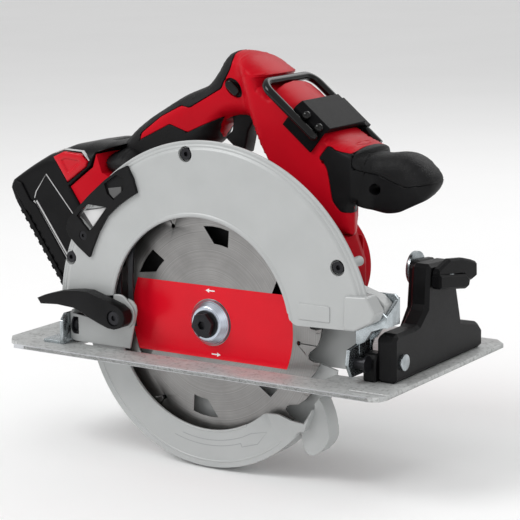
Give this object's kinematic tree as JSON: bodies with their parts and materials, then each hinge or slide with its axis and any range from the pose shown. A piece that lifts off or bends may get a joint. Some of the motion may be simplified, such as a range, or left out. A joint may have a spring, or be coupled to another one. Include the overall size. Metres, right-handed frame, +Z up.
{
  "type": "circular saw",
  "caption": "Cordless circular saw with D handle, upper and lower blade guards, tilting shoe, depth lever, folding rafter hook and slide-on battery.",
  "frame": {"origin": "centre of the shoe's rectangular underside, the sole that rides on the work", "axes": "+X is the cutting direction along the shoe, +Y the motor side, +Z up out of the sole"},
  "size_m": [0.3542, 0.189, 0.2906],
  "materials": {
    "battery_black": "fine texture",
    "black_plastic": "fine texture",
    "black_steel": "black oxide",
    "blade_steel": "ground steel with radial brushing",
    "board_green": "potted board",
    "carbide": "brazed carbide",
    "cell_wrap": "shrink wrapped cells",
    "copper_stack": "laminations and windings",
    "gear_cast": "die cast, rough",
    "grip_rubber": "pebbled rubber",
    "guard_paint": "light grey painted casting",
    "hook_black": "gloss black dip coat",
    "hub_cast": "machined casting",
    "overmould": "soft black overmould",
    "red_gloss": "satin red nylon",
    "red_plastic": "satin red nylon",
    "shoe_cast": "cast, speckled and brushed",
    "steel": "turned steel",
    "zinc": "zinc plated"
  },
  "bodies": {
    "housing": {"upper_guard": "guard_paint", "guard_screws": "black_steel", "spindle_hub": "hub_cast", "guard_retainer": "black_steel", "guard_spring": "steel", "gear_case": "gear_cast", "arbor_bearings": "steel", "motor_housing": "red_plastic", "motor_end_cap": "black_plastic", "end_cap_screws": "black_steel", "stator": "copper_stack", "motor_bearings": "steel", "controller_housing": "red_plastic", "controller_cover": "red_plastic", "controller_board": "board_green", "handle_right": "red_plastic", "handle_left": "red_plastic", "grip_overmould": "overmould", "handle_screws": "black_steel", "battery_foot": "red_plastic", "battery_rails": "steel", "terminal_block": "black_plastic", "switch_module": "black_plastic", "front_handle": "black_plastic", "front_grip": "grip_rubber", "dust_chute": "black_plastic", "chute_screw": "black_steel", "hook_saddle": "black_plastic", "saddle_screws": "black_steel", "depth_bolt": "black_steel"},
    "spindle": {"arbor_shaft": "steel", "drive_gear": "steel", "inner_flange": "zinc", "blade": "blade_steel", "carbide_tips": "carbide", "outer_flange": "zinc", "blade_bolt": "black_steel"},
    "rotor": {"rotor_shaft": "steel", "rotor_core": "copper_stack", "fan": "black_plastic"},
    "lower_guard": {"lower_guard": "guard_paint"},
    "trigger": {"trigger": "black_plastic"},
    "lock_off": {"lock_off": "black_plastic"},
    "spindle_lock": {"spindle_lock": "black_plastic"},
    "rafter_hook": {"rafter_hook": "hook_black"},
    "depth_lever": {"depth_lever": "black_plastic"},
    "depth_frame": {"front_pivot_bracket": "zinc", "front_pivot_pin": "zinc", "depth_bracket": "guard_paint", "depth_arc": "black_steel", "bevel_pivots": "black_steel"},
    "shoe": {"shoe": "shoe_cast", "rear_bevel_bracket": "zinc", "bevel_quadrant": "black_plastic", "quadrant_bolts": "zinc"},
    "bevel_lever": {"bevel_lever": "black_plastic"},
    "battery": {"battery_case": "battery_black", "battery_cells": "cell_wrap"},
    "latch_right": {"latch_right": "red_gloss"},
    "latch_left": {"latch_left": "red_gloss"}
  },
  "joints": [
    {"name": "blade_spin", "type": "hinge", "parent": "housing", "child": "spindle", "pos_m": [0.0046, -0.0553, 0.0286], "axis": [0, -1, 0], "continuous": true},
    {"name": "rotor_spin", "type": "hinge", "parent": "housing", "child": "rotor", "pos_m": [0.0131, 0.0047, 0.0519], "axis": [0, -1, 0], "continuous": true},
    {"name": "lower_guard_swing", "type": "hinge", "parent": "housing", "child": "lower_guard", "pos_m": [0.0046, -0.0553, 0.0286], "axis": [0, 1, 0], "range_deg": [0, 97], "stiffness_Nm_per_rad": 0.08, "springref_deg": -68.75},
    {"name": "trigger_pull", "type": "slide", "parent": "housing", "child": "trigger", "axis": [0, 0, 1], "range_m": [0, 0.0055], "stiffness_N_per_m": 600, "springref_m": -0.003},
    {"name": "lock_off_press", "type": "slide", "parent": "housing", "child": "lock_off", "axis": [0, 1, 0], "range_m": [0, 0.0022], "stiffness_N_per_m": 400, "springref_m": -0.002},
    {"name": "spindle_lock_press", "type": "slide", "parent": "housing", "child": "spindle_lock", "axis": [0.5736, 0, -0.8192], "range_m": [0, 0.003], "stiffness_N_per_m": 500, "springref_m": -0.002},
    {"name": "rafter_hook_swing", "type": "hinge", "parent": "housing", "child": "rafter_hook", "pos_m": [0.06774, 0.0312, 0.17013], "axis": [-0.7716, 0, 0.6361], "range_deg": [0, 180]},
    {"name": "depth_lever_turn", "type": "hinge", "parent": "housing", "child": "depth_lever", "pos_m": [-0.0604, -0.0803, 0.0296], "axis": [0, 1, 0], "range_deg": [0, 50]},
    {"name": "depth_adjust", "type": "hinge", "parent": "housing", "child": "depth_frame", "pos_m": [0.1366, -0.0553, 0.0516], "axis": [0, -1, 0], "range_deg": [0, 27]},
    {"name": "bevel_tilt", "type": "hinge", "parent": "depth_frame", "child": "shoe", "pos_m": [0.0046, -0.0643, 0.0166], "axis": [-1, 0, 0], "range_deg": [0, 50]},
    {"name": "bevel_lever_turn", "type": "hinge", "parent": "shoe", "child": "bevel_lever", "pos_m": [0.1586, 0.0107, 0.0666], "axis": [1, 0, 0], "range_deg": [0, 40]},
    {"name": "battery_slide", "type": "slide", "parent": "housing", "child": "battery", "axis": [-0.5736, 0, 0.8192], "range_m": [0, 0.075]},
    {"name": "latch_right_press", "type": "slide", "parent": "battery", "child": "latch_right", "axis": [0, 1, 0], "range_m": [0, 0.0028], "stiffness_N_per_m": 400, "springref_m": -0.002},
    {"name": "latch_left_press", "type": "slide", "parent": "battery", "child": "latch_left", "axis": [0, -1, 0], "range_m": [0, 0.0028], "stiffness_N_per_m": 400, "springref_m": -0.002}
  ],
  "couplings": [
    {"joint": "rotor_spin", "follows": "blade_spin", "ratio": -4}
  ]
}
